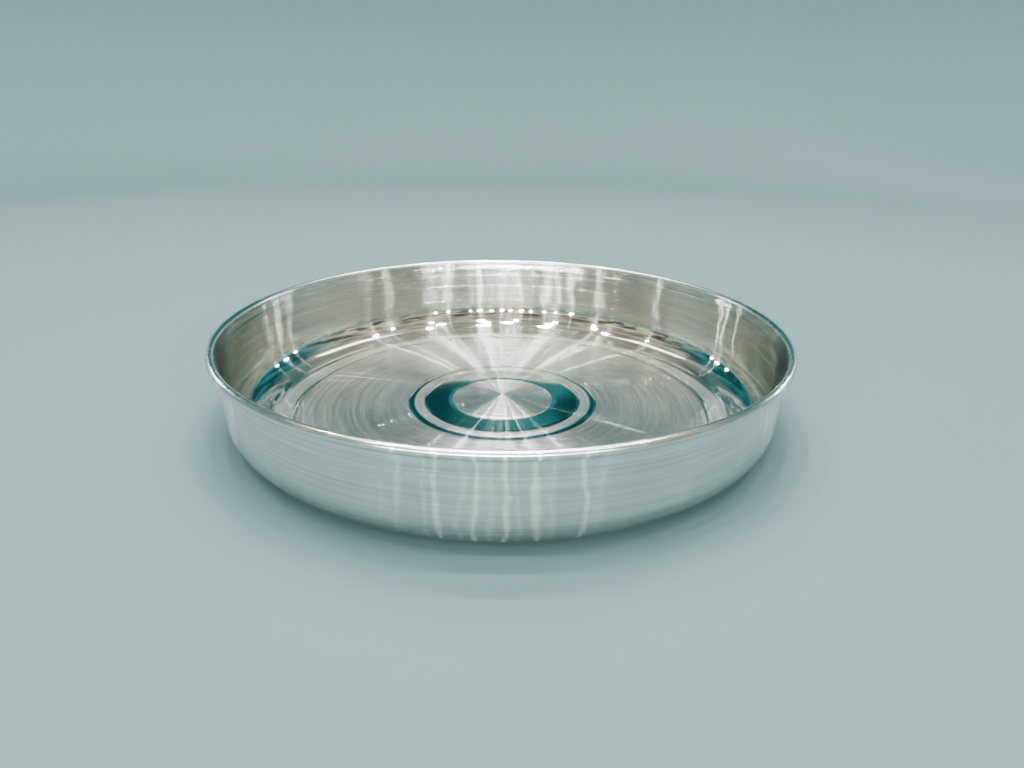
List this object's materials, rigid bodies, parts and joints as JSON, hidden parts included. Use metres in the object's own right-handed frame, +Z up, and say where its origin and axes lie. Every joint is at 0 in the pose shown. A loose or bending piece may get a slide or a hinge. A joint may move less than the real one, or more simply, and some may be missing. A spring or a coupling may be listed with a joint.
{
  "type": "offering plate",
  "caption": "Round shallow metal offering plate with a nearly upright wall, a rounded corner, a wired curled rim and satin turned rings in its gently raised floor.",
  "frame": {"origin": "on the plate's axis, at the level of the foot ring that it stands on", "axes": "+Z up along the plate's axis, out of its open mouth; +X and +Y lie in the plane that it stands on and are free, because the plate is round"},
  "size_m": [0.305, 0.305, 0.0494],
  "materials": {
    "polished_metal": "mirror-polished sheet metal with concentric satin turned bands in the floor and fine turning lines on the wall",
    "steel_wire": "drawn steel wire"
  },
  "bodies": {
    "root": {"dish": "polished_metal", "rim_wire": "steel_wire"}
  },
  "joints": []
}
